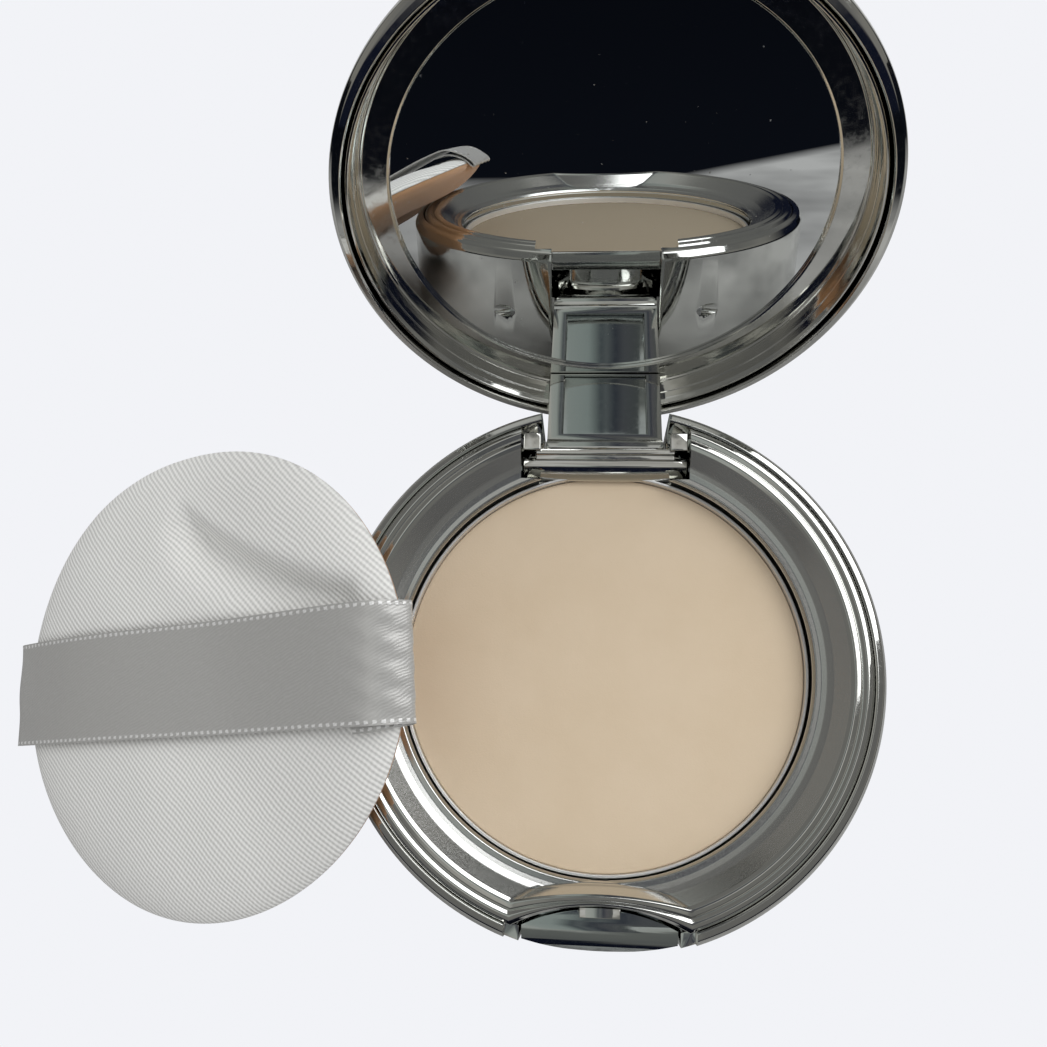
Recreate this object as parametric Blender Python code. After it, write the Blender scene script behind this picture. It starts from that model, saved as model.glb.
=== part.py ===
"""Round pressed-powder compact: base with pan and push-button catch, mirrored lid on a rear arm, powder puff.

Written in millimetres and scaled to metres as each mesh is stored. The origin is the centre of the
base's underside, +Z is up, and the hinge lies at +Y. The lid is drawn closed and then swung open.
"""
from math import acos, cos, pi, radians, sin, sqrt

import bmesh
import bpy
from mathutils import Matrix, Vector

MM = 0.001

# Overall sizes
BODY_R = 37.5
RIM_Z = 21.2
SEGMENTS = 56
PUFF_SEGMENTS = 40

# Lid hinge
HINGE_Y = 33.06
HINGE_Z = RIM_Z - 11.0
OPEN_DEG = 112.5
PIN_R = 1.0
PIN_BORE_R = 1.05
PIN_HALF = 16.4
HUB_R = 2.6
ARM_HALF = 8.75
ARM_FRONT_Y = 31.26
ARM_BACK_R = 37.1
NOTCH_HALF = 9.15
NOTCH_FLOOR_Z = 3.4
WASHER_R = 2.2

# Powder well
PAN_HOLE_R = 28.25
PAN_R = 27.95
PAN_WALL = 0.4
PAN_TOP_Z = RIM_Z - 5.0
PAN_FLOOR_Z = RIM_Z - 8.35
WELL_FLOOR_Z = RIM_Z - 8.6

# Thumb recess and push button
RECESS_HALF = 12.3
RECESS_STEPS = 12
BUTTON_HALF = 10.1
BUTTON_R = 37.2
BUTTON_BACK_Y = -31.75
BUTTON_BACK_R = 23.4
BUTTON_BOTTOM_Z = 7.4
BUTTON_TOP_Z = RIM_Z - 3.3
SPRING_Z = 9.3
SPRING_R = 1.75
SPRING_WIRE_R = 0.3

# Mirror
MIRROR_R = 31.0
MIRROR_Z = RIM_Z + 6.05
MIRROR_THICK = 1.5

# Puff
PUFF_R = 33.5
PUFF_CENTRE = (-58.3, -3.6, 15.35)
PUFF_TILT_DEG = 22.8
PUFF_TURN_DEG = 12.8
RIBBON_SLANT_DEG = -6.0
RIBBON_HALF = 8.2
RIBBON_THICK = 0.5


def store(name, verts, faces):
    """Make an object from millimetre vertices, with its faces turned outwards."""
    mesh = bpy.data.meshes.new(name)
    mesh.from_pydata([tuple(c * MM for c in v) for v in verts], [], faces)
    bm = bmesh.new()
    bm.from_mesh(mesh)
    bmesh.ops.remove_doubles(bm, verts=bm.verts, dist=1e-7)
    bmesh.ops.recalc_face_normals(bm, faces=bm.faces)
    bm.to_mesh(mesh)
    bm.free()
    obj = bpy.data.objects.new(name, mesh)
    bpy.context.scene.collection.objects.link(obj)
    return obj


def circle(radius, segments=SEGMENTS):
    return [(radius * cos(2 * pi * k / segments), radius * sin(2 * pi * k / segments)) for k in range(segments)]


def turned(name, profile, plan=circle, closed=False):
    """Turn (radius, z) points about Z; plan(radius, ...) gives each ring's points in plan."""
    segments = len(plan(profile[1][0], *profile[1][2:]))
    verts, rings = [], []
    for radius, z, *more in profile:
        if radius == 0:
            rings.append([len(verts)] * segments)
            verts.append((0, 0, z))
            continue
        rings.append(list(range(len(verts), len(verts) + segments)))
        verts.extend((x, y, z) for x, y in plan(radius, *more))
    pairs = list(zip(rings, rings[1:]))
    if closed:
        pairs.append((rings[-1], rings[0]))
    faces = []
    for low, high in pairs:
        for step in range(segments):
            nxt = (step + 1) % segments
            corners = []
            for index in (low[step], low[nxt], high[nxt], high[step]):
                if index not in corners:
                    corners.append(index)
            faces.append(corners)
    return store(name, verts, faces)


def prism(name, outline, low, high, axis="Z"):
    """Extrude an outline from low to high along axis; outline is (x, y), (y, z) or (x, z)."""
    place = {"Z": lambda a, b, c: (a, b, c), "X": lambda a, b, c: (c, a, b), "Y": lambda a, b, c: (a, c, b)}[axis]
    count = len(outline)
    verts = [place(a, b, low) for a, b in outline] + [place(a, b, high) for a, b in outline]
    faces = [list(range(count)), list(range(count, 2 * count))]
    for i in range(count):
        j = (i + 1) % count
        faces.append([i, j, count + j, count + i])
    return store(name, verts, faces)


def block(name, low, high):
    """Box between two corners."""
    outline = [(low[0], low[1]), (high[0], low[1]), (high[0], high[1]), (low[0], high[1])]
    return prism(name, outline, low[2], high[2])


def rod(name, radius, start, end, axis, centre, segments=24):
    """Round bar along X or Y, centred on the two remaining coordinates."""
    outline = []
    for step in range(segments):
        angle = 2 * pi * step / segments
        outline.append((centre[0] + radius * cos(angle), centre[1] + radius * sin(angle)))
    return prism(name, outline, start, end, axis)


def combine(target, others, operation):
    """Cut the others from the target or add them to it, and drop them."""
    for other in others:
        modifier = target.modifiers.new("step", "BOOLEAN")
        modifier.operation = operation
        modifier.solver = "EXACT"
        modifier.object = other
    graph = bpy.context.evaluated_depsgraph_get()
    mesh = bpy.data.meshes.new_from_object(target.evaluated_get(graph))
    target.modifiers.clear()
    target.data = mesh
    for other in others:
        bpy.data.objects.remove(other)
    return target


def cut(target, *others):
    return combine(target, others, "DIFFERENCE")


def add(target, *others):
    return combine(target, others, "UNION")


def recess_sweep(radius, front):
    """Arc radius of the thumb recess where it stands at front, and half its width on a ring of this radius."""
    bend = 84.6 + front if front > -29.9 else 54.7 - (-29.9 - front) * 24.6
    reach = bend - front
    turn = acos(min(1, (reach ** 2 + radius ** 2 - bend ** 2) / (2 * reach * radius)))
    return bend, min(radius * sin(turn), RECESS_HALF)


def tray_ring(radius, front):
    """Plan of a tray ring: round, with its front drawn in to the thumb recess at y = front."""
    whole = front <= -radius
    bend, half = (radius, 11.0) if whole else recess_sweep(radius, front)
    turn = acos(sqrt(1 - (half / radius) ** 2))
    points = []
    for k in range(SEGMENTS + 1):
        angle = -pi / 2 + turn + (2 * pi - 2 * turn) * k / SEGMENTS
        points.append((radius * cos(angle), radius * sin(angle)))
    for k in range(RECESS_STEPS + 1):
        x = half * (2 * k / RECESS_STEPS - 1)
        points.append((x, front - bend + sqrt(bend ** 2 - x * x)))
    return points


def make_base_shell():
    z = RIM_Z
    profile = [(0, 0.4), (22, 0.4), (22, 0), (34.0, 0), (35.5, 0.5), (36.6, 1.9), (37.25, 5), (BODY_R, 10),
               (BODY_R, z - 2.2), (37.25, z - 1.1), (36.7, z - 0.4), (35.9, z - 0.1), (35.75, z - 0.2),
               (35.75, 4.5), (35.0, 2.8), (33.5, 1.8), (0, 1.8)]
    shell = turned("base_shell", profile)
    lugs = []
    for side in (-1, 1):
        ends = sorted((side * (NOTCH_HALF - 1), side * 13.6))
        lugs.append(block("lug", (ends[0], 29.6, 1.2), (ends[1], 34.0, 13.4)))
    spring_stop = block("stop", (-3.2, -24.4, 1.2), (3.2, -23.2, 11.1))
    sill = block("sill", (-NOTCH_HALF - 1.2, 29.6, 1.2), (NOTCH_HALF + 1.2, 34.6, NOTCH_FLOOR_Z))
    add(shell, *lugs, spring_stop, sill)
    notch = block("notch", (-NOTCH_HALF, 29.0, NOTCH_FLOOR_Z), (NOTCH_HALF, 40, 30))
    front = block("front", (-BUTTON_HALF - 0.35, -40, BUTTON_BOTTOM_Z - 0.35), (BUTTON_HALF + 0.35, -33, 30))
    recess = block("recess", (-RECESS_HALF, -40, z - 3.6), (RECESS_HALF, -30, 30))
    bore = rod("bore", PIN_R + 0.04, -20, 20, "X", (HINGE_Y, HINGE_Z))
    return cut(shell, notch, front, recess, bore)


def make_base_tray():
    """Tray: pan well, rolled lip, slope up to the rim and a flat terrace; each ring is (radius, z, front y)."""
    z = RIM_Z
    upper = [(0, WELL_FLOOR_Z), (PAN_HOLE_R, WELL_FLOOR_Z, -PAN_HOLE_R), (PAN_HOLE_R, z - 3.3, -PAN_HOLE_R),
             (28.05, z - 2.9, -28.05), (28.4, z - 2.3, -28.35), (29.2, z - 2.0, -28.4), (30.2, z - 2.15, -28.45),
             (32.6, z + 0.2, -29.6), (32.85, z + 0.44, -29.75), (33.2, z + 0.42, -29.95), (33.4, z + 0.02, -30.15),
             (35.45, z - 0.15, -31.15)]
    lower = [(35.45, z - 6.0, -31.15), (34.2, z - 6.0, -30.65), (34.2, z - 1.6, -30.65), (33.1, z - 1.6, -30.1),
             (31.0, z - 3.9, -29.6), (29.4, z - 3.9, -29.4), (29.4, z - 9.8, -29.4), (0, z - 9.8)]
    tray = turned("base_tray", upper + lower, tray_ring)
    pocket = block("pocket", (-12.0, 26.6, z - 4.95), (12.0, 40, 30))
    slot = block("slot", (-NOTCH_HALF, 29.9, 0), (NOTCH_HALF, 40, 30))
    catch_room = block("room", (-3.1, -34, z - 6.6), (3.1, -30.2, z - 0.55))
    return cut(tray, pocket, slot, catch_room)


def make_hinge_cover():
    """Stepped bridge over the hinge pin, with a cheek on each side of the lid's arm."""
    z = RIM_Z
    bar = [(26.9, z - 4.65), (28.5, z - 2.5), (29.4, z - 2.5), (29.4, z - 2.05), (30.1, z - 2.05),
           (30.1, z - 1.6), (30.9, z - 1.6), (30.9, z - 4.65)]
    cover = prism("hinge_cover", bar, -11.7, 11.7, "X")
    cheeks = []
    for side in (-1, 1):
        ends = sorted((side * (NOTCH_HALF + 0.1), side * 11.7))
        cheeks.append(block("cheek", (ends[0], 30.5, z - 4.65), (ends[1], 33.1, z - 1.0)))
    return add(cover, *cheeks)


def make_pan():
    top, low, wall = PAN_TOP_Z, PAN_FLOOR_Z, PAN_WALL
    profile = [(0, low), (PAN_R - 0.4, low), (PAN_R, low + 0.4), (PAN_R, top), (PAN_R - wall, top),
               (PAN_R - wall, low + wall + 0.3), (PAN_R - wall - 0.3, low + wall), (0, low + wall)]
    return turned("powder_pan", profile)


def make_powder():
    radius, low, top = PAN_R - PAN_WALL - 0.02, PAN_FLOOR_Z + PAN_WALL + 0.05, PAN_TOP_Z - 0.2
    profile = [(0, low), (radius - 0.6, low), (radius, low + 0.6), (radius, top - 0.15), (radius - 0.3, top), (0, top)]
    return turned("powder_cake", profile)


def disc(name, radius, low, high):
    return turned(name, [(0, low), (radius, low), (radius, high), (0, high)])


def make_spring():
    """Closed-ended coil lying along Y behind the push button."""
    turns, steps, sides = 4, 14, 6
    start, end = -24.75, -30.3
    verts, faces = [], []
    count = turns * steps + 1
    for i in range(count):
        angle = 2 * pi * i / steps
        y = start + (end - start) * i / (count - 1)
        for k in range(sides):
            around = 2 * pi * k / sides
            r = SPRING_R + SPRING_WIRE_R * cos(around)
            verts.append((r * cos(angle), y + SPRING_WIRE_R * sin(around), SPRING_Z + r * sin(angle)))
    for i in range(count - 1):
        for k in range(sides):
            a, b = i * sides + k, i * sides + (k + 1) % sides
            faces.append([a, b, b + sides, a + sides])
    faces.append(list(range(sides)))
    faces.append(list(range((count - 1) * sides, count * sides)))
    return store("latch_spring", verts, faces)


def arc_points(radius, centre_y, half, count, sign):
    """Plan points at x from -half to half on a circle about (0, centre_y), on its +Y or -Y side."""
    points = []
    for i in range(count):
        x = -half + 2 * half * i / (count - 1)
        points.append((x, centre_y + sign * sqrt(radius * radius - x * x)))
    return points


def make_push_button():
    """Curved key with a sloping top, a retaining flange behind the shell and a stem for the spring."""
    inner = arc_points(BUTTON_BACK_R, BUTTON_BACK_Y - BUTTON_BACK_R, BUTTON_HALF, 11, 1)
    outer = arc_points(BUTTON_R, 0, BUTTON_HALF, 11, -1)
    key = prism("push_button", inner + outer[::-1], BUTTON_BOTTOM_Z, BUTTON_TOP_Z)
    slope = prism("slope", [(-30, BUTTON_TOP_Z + 0.25), (-36.0, BUTTON_TOP_Z - 0.75), (-37.1, BUTTON_TOP_Z - 2.4),
                            (-40, BUTTON_TOP_Z - 6), (-40, 30), (-30, 30)], -14, 14, "X")
    seat = block("seat", (-2.7, -32.0, BUTTON_TOP_Z - 1.55), (2.7, -30, 30))
    cut(key, slope, seat)
    flange = block("flange", (-11.5, -33.0, BUTTON_BOTTOM_Z), (11.5, -32.3, RIM_Z - 6.5))
    stem = rod("stem", 1.15, -32.4, -27.4, "Y", (0, SPRING_Z))
    return add(key, flange, stem)


def make_catch():
    """Ledge that the lid's hook snaps under, standing on the button."""
    z = RIM_Z
    outline = [(-32.6, z - 1.7), (-32.6, z - 0.95), (-31.3, z - 0.95), (-31.3, BUTTON_TOP_Z - 1.5),
               (-31.95, BUTTON_TOP_Z - 1.5), (-31.95, z - 1.7)]
    return prism("latch_catch", outline, -2.6, 2.6, "X")


def make_lid_shell():
    """Domed cover and, in one piece with it, the arm that carries the hinge hub."""
    z = RIM_Z
    profile = [(0, z + 10.6), (14, z + 10.45), (24, z + 10.0), (31, z + 9.3), (34.4, z + 8.1), (36.3, z + 6.3),
               (37.2, z + 4.2), (BODY_R, z + 2.4), (BODY_R, z + 1.4), (37.25, z + 0.8), (36.7, z + 0.4),
               (35.9, z + 0.25), (35.75, z + 0.35), (35.75, z + 5.3), (34.6, z + 6.8), (33.9, z + 7.85),
               (0, z + 7.85)]
    shell = turned("lid_shell", profile)
    arm = block("arm", (-ARM_HALF, ARM_FRONT_Y, HINGE_Z), (ARM_HALF, 39, z + 5.2))
    tail = block("tail", (-ARM_HALF, HINGE_Y - 1, HINGE_Z - HUB_R), (ARM_HALF, 39, HINGE_Z + 0.5))
    hub = rod("hub", HUB_R, -ARM_HALF, ARM_HALF, "X", (HINGE_Y, HINGE_Z))
    add(arm, tail, hub)
    trim = turned("trim", [(ARM_BACK_R, 0), (60, 0), (60, 40), (ARM_BACK_R, 40)], closed=True)
    heel = prism("heel", [(38, HINGE_Z - 4), (38, HINGE_Z + 1.5), (33.8, HINGE_Z - 2.7), (33.8, HINGE_Z - 4)],
                 -ARM_HALF - 1, ARM_HALF + 1, "X")
    panel = block("panel", (-6.6, 30, HINGE_Z + 3.0), (6.6, ARM_FRONT_Y + 0.9, z + 4.9))
    bore = rod("bore", PIN_BORE_R, -12, 12, "X", (HINGE_Y, HINGE_Z))
    cut(arm, trim, heel, panel, bore)
    return add(shell, arm)


def make_arm_panel():
    return block("arm_panel", (-6.45, ARM_FRONT_Y + 0.3, HINGE_Z + 3.15), (6.45, ARM_FRONT_Y + 0.88, RIM_Z + 4.75))


def make_lid_frame():
    """Ring inside the lid: flat bezel that holds the mirror, and the skirt that meets the base."""
    z = RIM_Z
    profile = [(30.1, z + 5.5), (30.35, z + 5.4), (33.8, z + 5.4), (34.2, z + 4.8), (34.4, z + 3.0),
               (34.6, z + 1.5), (34.9, z + 1.0), (35.25, z + 1.0), (35.45, z + 1.4), (35.45, z + 5.2),
               (34.3, z + 6.6), (33.6, z + 7.7), (31.3, z + 7.7), (31.3, z + 6.0), (30.1, z + 6.0)]
    frame = turned("lid_frame", profile, closed=True)
    gate = block("gate", (-ARM_HALF - 0.25, 30.5, z - 1), (ARM_HALF + 0.25, 40, z + 5.3))
    return cut(frame, gate)


def make_hook():
    """Barbed tongue at the front of the lid."""
    z = RIM_Z
    outline = [(-34.0, z + 4.4), (-34.0, z - 2.75), (-32.8, z - 2.75), (-32.25, z - 2.3), (-32.25, z - 2.0),
               (-33.0, z - 2.0), (-33.0, z + 4.4)]
    return prism("latch_hook", outline, -2.3, 2.3, "X")


def make_hinge_hardware():
    pin = rod("hinge_pin", PIN_R, -PIN_HALF, PIN_HALF, "X", (HINGE_Y, HINGE_Z))
    washers = []
    for side, label in ((-1, "left"), (1, "right")):
        ends = sorted((side * (ARM_HALF + 0.05), side * (NOTCH_HALF - 0.05)))
        washer = rod("hinge_washer_" + label, WASHER_R, ends[0], ends[1], "X", (HINGE_Y, HINGE_Z))
        washers.append(cut(washer, rod("hole", PIN_BORE_R, -12, 12, "X", (HINGE_Y, HINGE_Z))))
    return [pin] + washers


def make_puff():
    """Cushion of a fabric face, a foam filling and a velour underside, drawn flat about its own centre."""
    outer = [(0, 3.3), (12, 3.25), (20, 3.05), (26, 2.6), (30, 1.9), (32.5, 1.0), (PUFF_R, 0.1)]
    inner = [(32.55, 0.1), (31.7, 0.75), (29.5, 1.3), (25.6, 1.95), (20, 2.4), (12, 2.6), (0, 2.65)]
    core = [(0, 2.55), (12, 2.5), (20, 2.3), (25.4, 1.85), (29.2, 1.2), (31.4, 0.65), (32.3, 0.0)]
    def ring(radius):
        return circle(radius, PUFF_SEGMENTS)

    face = turned("puff_face", outer + inner, ring)
    base = turned("puff_base", [(r, -z) for r, z in outer + inner], ring)
    filling = turned("puff_filling", core + [(r, -z) for r, z in core[-2::-1]], ring)
    return [face, filling, base]


def make_ribbon():
    """Finger band over the puff, sewn in at its two ends; it stands out past the edge on the left."""
    path = [(-34.0, -0.2), (-36.4, 0.1), (-38.0, 1.4), (-37.4, 2.9), (-33, 4.0), (-24, 5.0), (-12, 5.7), (0, 5.9),
            (12, 5.7), (22, 5.0), (29, 3.9), (33.2, 2.4), (34.4, 1.0), (34.4, -0.2)]
    upper, lower = [], []
    for i, (x, z) in enumerate(path):
        x0, z0 = path[max(i - 1, 0)]
        x1, z1 = path[min(i + 1, len(path) - 1)]
        along = Vector((x1 - x0, z1 - z0)).normalized()
        offset = Vector((-along.y, along.x)) * RIBBON_THICK / 2
        upper.append((x + offset.x, z + offset.y))
        lower.append((x - offset.x, z - offset.y))
    return prism("puff_ribbon", upper + lower[::-1], -RIBBON_HALF, RIBBON_HALF, "Y")


def move(objects, matrix):
    """Apply a millimetre transform to the meshes."""
    scaled = matrix.copy()
    scaled.translation = matrix.translation * MM
    for obj in objects:
        obj.data.transform(scaled)


def about_hinge(angle):
    centre = Vector((0, HINGE_Y, HINGE_Z))
    return Matrix.Translation(centre) @ Matrix.Rotation(angle, 4, "X") @ Matrix.Translation(-centre)


def build():
    for obj in list(bpy.data.objects):
        bpy.data.objects.remove(obj)
    make_base_shell()
    make_base_tray()
    make_hinge_cover()
    make_pan()
    make_powder()
    disc("pan_adhesive", 22.0, WELL_FLOOR_Z + 0.02, PAN_FLOOR_Z - 0.02)
    disc("base_label", 21.7, 0.14, 0.38)
    make_hinge_hardware()
    make_spring()
    make_push_button()
    make_catch()
    lid = [make_lid_shell(), make_arm_panel(), make_lid_frame(), make_hook()]
    lid.append(disc("mirror_glass", MIRROR_R, MIRROR_Z, MIRROR_Z + MIRROR_THICK))
    lid.append(disc("mirror_adhesive", 28.0, MIRROR_Z + MIRROR_THICK + 0.03, RIM_Z + 7.82))
    move(lid, about_hinge(-radians(OPEN_DEG)))
    cushion = make_puff()
    ribbon = make_ribbon()
    move([ribbon], Matrix.Rotation(radians(RIBBON_SLANT_DEG), 4, "Z"))
    turn = Matrix.Rotation(radians(PUFF_TURN_DEG), 4, "Z")
    lean = Matrix.Translation(PUFF_CENTRE) @ turn @ Matrix.Rotation(-radians(PUFF_TILT_DEG), 4, "Y")
    move(cushion + [ribbon], lean)


build()
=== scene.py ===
"""Powder compact: finely turned chrome shells, pan, powder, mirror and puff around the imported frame."""
from math import acos, asin, cos, exp, pi, radians, sin, sqrt, tan

import bmesh
import bpy
from mathutils import Matrix, Vector


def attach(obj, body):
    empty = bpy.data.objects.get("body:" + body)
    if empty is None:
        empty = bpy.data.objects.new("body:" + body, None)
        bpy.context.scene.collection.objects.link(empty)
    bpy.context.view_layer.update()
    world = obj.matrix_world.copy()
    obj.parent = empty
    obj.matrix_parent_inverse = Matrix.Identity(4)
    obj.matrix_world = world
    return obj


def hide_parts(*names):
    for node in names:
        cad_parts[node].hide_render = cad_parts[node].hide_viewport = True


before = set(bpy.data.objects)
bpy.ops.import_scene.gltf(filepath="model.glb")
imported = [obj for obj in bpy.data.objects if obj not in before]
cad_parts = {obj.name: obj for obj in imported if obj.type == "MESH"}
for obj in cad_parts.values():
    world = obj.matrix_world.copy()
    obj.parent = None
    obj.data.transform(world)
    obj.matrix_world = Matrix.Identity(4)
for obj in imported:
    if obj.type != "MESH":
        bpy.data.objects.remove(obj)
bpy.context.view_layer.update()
MM = 0.001

# Sizes shared with the CAD model, in millimetres
BODY_R = 37.5
RIM_Z = 21.2
HINGE_Y = 33.06
HINGE_Z = RIM_Z - 11.0
OPEN_DEG = 112.5
PIN_R = 1.0
HUB_R = 2.6
ARM_HALF = 8.75
ARM_FRONT_Y = 31.26
ARM_BACK_R = 37.1
PANEL_HALF = 6.6
NOTCH_HALF = 9.15
NOTCH_FLOOR_Z = 3.4
LUG_OUTER = 13.6
COVER_HALF = 11.7
PAN_HOLE_R = 28.25
PAN_R = 27.95
PAN_WALL = 0.4
PAN_TOP_Z = RIM_Z - 5.0
PAN_FLOOR_Z = RIM_Z - 8.35
WELL_FLOOR_Z = RIM_Z - 8.6
RECESS_HALF = 12.3
BUTTON_HALF = 10.1
BUTTON_R = 37.2
BUTTON_BACK_Y = -31.75
BUTTON_BACK_R = 23.4
BUTTON_BOTTOM_Z = 7.4
BUTTON_TOP_Z = RIM_Z - 3.3
HOOK_HALF = 2.3
CATCH_HALF = 2.6
MIRROR_R = 31.0
MIRROR_Z = RIM_Z + 6.05
MIRROR_THICK = 1.5
PUFF_R = 33.5
PUFF_CENTRE = (-58.06, -3.33, 14.85)
PUFF_TILT_DEG = 19.3
PUFF_TURN_DEG = 18.4
PUFF_CROWN = 3.6
CLOTH_THICK = 0.65
RIBBON_SLANT_DEG = -14.5
RIBBON_HALF = 7.85
RIBBON_THICK = 0.22

# Mesh density
RING_STEPS = 240
ARC_STEPS = 40
BUTTON_STEPS = 33


# ---------------------------------------------------------------- mesh tools

def new_object(name, data):
    obj = bpy.data.objects.new(name, data)
    bpy.context.scene.collection.objects.link(obj)
    return obj


def store(name, verts, faces, uvs=None, smooth_deg=35):
    """Make an object from millimetre vertices: faces outwards, smooth except at sharp edges."""
    mesh = bpy.data.meshes.new(name)
    mesh.from_pydata([tuple(c * MM for c in v) for v in verts], [], faces)
    if uvs:
        layer = mesh.uv_layers.new(name="flat")
        for loop in mesh.loops:
            layer.data[loop.index].uv = uvs[loop.vertex_index]
    bm = bmesh.new()
    bm.from_mesh(mesh)
    bmesh.ops.remove_doubles(bm, verts=bm.verts, dist=2e-7)
    bmesh.ops.recalc_face_normals(bm, faces=bm.faces)
    bm.to_mesh(mesh)
    bm.free()
    obj = new_object(name, mesh)
    soften(obj, smooth_deg)
    return obj


def soften(obj, smooth_deg=35):
    """Smooth shading with the edges sharper than smooth_deg kept crisp."""
    mesh = obj.data
    bm = bmesh.new()
    bm.from_mesh(mesh)
    limit = radians(smooth_deg)
    for face in bm.faces:
        face.smooth = True
    for edge in bm.edges:
        edge.smooth = len(edge.link_faces) == 2 and edge.calc_face_angle(0) < limit
    bm.to_mesh(mesh)
    bm.free()


def part_way(one, other, share):
    """Values that lie a share of the way from one to the other."""
    return tuple(a + (b - a) * share for a, b in zip(one, other))


def rounded(points, closed=False, steps=6):
    """Profile with each corner (r, z, fillet) turned into an arc, with a support point beside each arc.
    A fourth value, where a corner has one, runs on evenly through the arc."""
    count = len(points)
    out = []
    for i, point in enumerate(points):
        here = Vector(point[:2])
        fillet = point[2] if len(point) > 2 else 0
        more = point[3:]
        if fillet == 0 or (not closed and i in (0, count - 1)):
            out.append((*here, *more))
            continue
        before = Vector(points[i - 1][:2]) - here
        after = Vector(points[(i + 1) % count][:2]) - here
        behind, ahead = points[i - 1][3:], points[(i + 1) % count][3:]
        reach = min(before.length, after.length) * 0.45
        a, b = before.normalized(), after.normalized()
        half = acos(max(-1, min(1, a.dot(b)))) / 2
        if half > radians(88):
            out.append((*here, *more))
            continue
        trim = min(fillet / tan(half), reach)
        radius = trim * tan(half)
        centre = here + (a + b).normalized() * radius / sin(half)
        start, end = here + a * trim, here + b * trim
        support = min(0.06, reach - trim)
        first = part_way(more, behind, trim / before.length)
        last = part_way(more, ahead, trim / after.length)
        if support > 0.01:
            out.append((*(start + a * support), *part_way(more, behind, (trim + support) / before.length)))
        sweep = (start - centre).angle_signed(end - centre)
        for k in range(steps + 1):
            turn = -sweep * k / steps
            spoke = start - centre
            out.append((centre.x + spoke.x * cos(turn) - spoke.y * sin(turn),
                        centre.y + spoke.x * sin(turn) + spoke.y * cos(turn),
                        *part_way(first, last, k / steps)))
        if support > 0.01:
            out.append((*(end + b * support), *part_way(more, ahead, (trim + support) / after.length)))
    return out


def round_ring(radius):
    return [(radius * cos(2 * pi * k / RING_STEPS), radius * sin(2 * pi * k / RING_STEPS))
            for k in range(RING_STEPS)]


def turned(name, profile, ring=round_ring, closed=False, smooth_deg=35):
    """Turn (radius, z, ...) points about Z through the plan curves that ring(radius, ...) gives."""
    count = len(ring(10, *profile[1][2:]))
    verts, rings = [], []
    for radius, z, *more in profile:
        if radius < 1e-6:
            rings.append([len(verts)] * count)
            verts.append((0, 0, z))
            continue
        rings.append(list(range(len(verts), len(verts) + count)))
        verts.extend((x, y, z) for x, y in ring(radius, *more))
    pairs = list(zip(rings, rings[1:]))
    if closed:
        pairs.append((rings[-1], rings[0]))
    faces = []
    for low, high in pairs:
        for step in range(count):
            nxt = (step + 1) % count
            corners = list(dict.fromkeys((low[step], low[nxt], high[nxt], high[step])))
            faces.append(corners)
    return store(name, verts, faces, smooth_deg=smooth_deg)


def prism(name, outline, low, high, axis="Z"):
    """Extrude an outline from low to high along axis; outline is (x, y), (y, z) or (x, z)."""
    place = {"Z": lambda a, b, c: (a, b, c), "X": lambda a, b, c: (c, a, b),
             "Y": lambda a, b, c: (a, c, b)}[axis]
    count = len(outline)
    verts = [place(a, b, low) for a, b in outline] + [place(a, b, high) for a, b in outline]
    faces = [list(range(count)), list(range(count, 2 * count))]
    for i in range(count):
        j = (i + 1) % count
        faces.append([i, j, count + j, count + i])
    return store(name, verts, faces)


def block(name, low, high):
    outline = [(low[0], low[1]), (high[0], low[1]), (high[0], high[1]), (low[0], high[1])]
    return prism(name, outline, low[2], high[2])


def rod(name, radius, start, end, axis, centre, segments=48):
    outline = []
    for step in range(segments):
        angle = 2 * pi * step / segments
        outline.append((centre[0] + radius * cos(angle), centre[1] + radius * sin(angle)))
    return prism(name, outline, start, end, axis)


def apply_modifiers(obj):
    graph = bpy.context.evaluated_depsgraph_get()
    mesh = bpy.data.meshes.new_from_object(obj.evaluated_get(graph))
    obj.modifiers.clear()
    obj.data = mesh
    return obj


def combine(target, others, operation):
    for other in others:
        modifier = target.modifiers.new("step", "BOOLEAN")
        modifier.operation = operation
        modifier.solver = "EXACT"
        modifier.object = other
    apply_modifiers(target)
    for other in others:
        bpy.data.objects.remove(other)
    return target


def cut(target, *others):
    return combine(target, others, "DIFFERENCE")


def add(target, *others):
    return combine(target, others, "UNION")


def bevelled(obj, width, segments=3, angle=30):
    """Round the sharp edges of a piece by width millimetres."""
    modifier = obj.modifiers.new("round", "BEVEL")
    modifier.width = width * MM
    modifier.segments = segments
    modifier.limit_method = "ANGLE"
    modifier.angle_limit = radians(angle)
    modifier.use_clamp_overlap = True
    modifier.harden_normals = False
    apply_modifiers(obj)
    soften(obj, 40)
    return obj


def about_hinge(angle):
    centre = Vector((0, HINGE_Y, HINGE_Z))
    return Matrix.Translation(centre) @ Matrix.Rotation(angle, 4, "X") @ Matrix.Translation(-centre)


def move(obj, matrix):
    scaled = matrix.copy()
    scaled.translation = matrix.translation * MM
    obj.data.transform(scaled)


def settle(obj, body, node, material):
    """Give a finished piece its material and its body, and hide the CAD node that it stands for."""
    if not obj.data.materials:
        obj.data.materials.append(material)
    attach(obj, body)
    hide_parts(node)
    return obj


# ---------------------------------------------------------------- materials

def new_material(name):
    material = bpy.data.materials.new(name)
    material.use_nodes = True
    tree = material.node_tree
    return material, tree, tree.nodes["Principled BSDF"]


def link(tree, a, b):
    tree.links.new(a, b)


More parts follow.
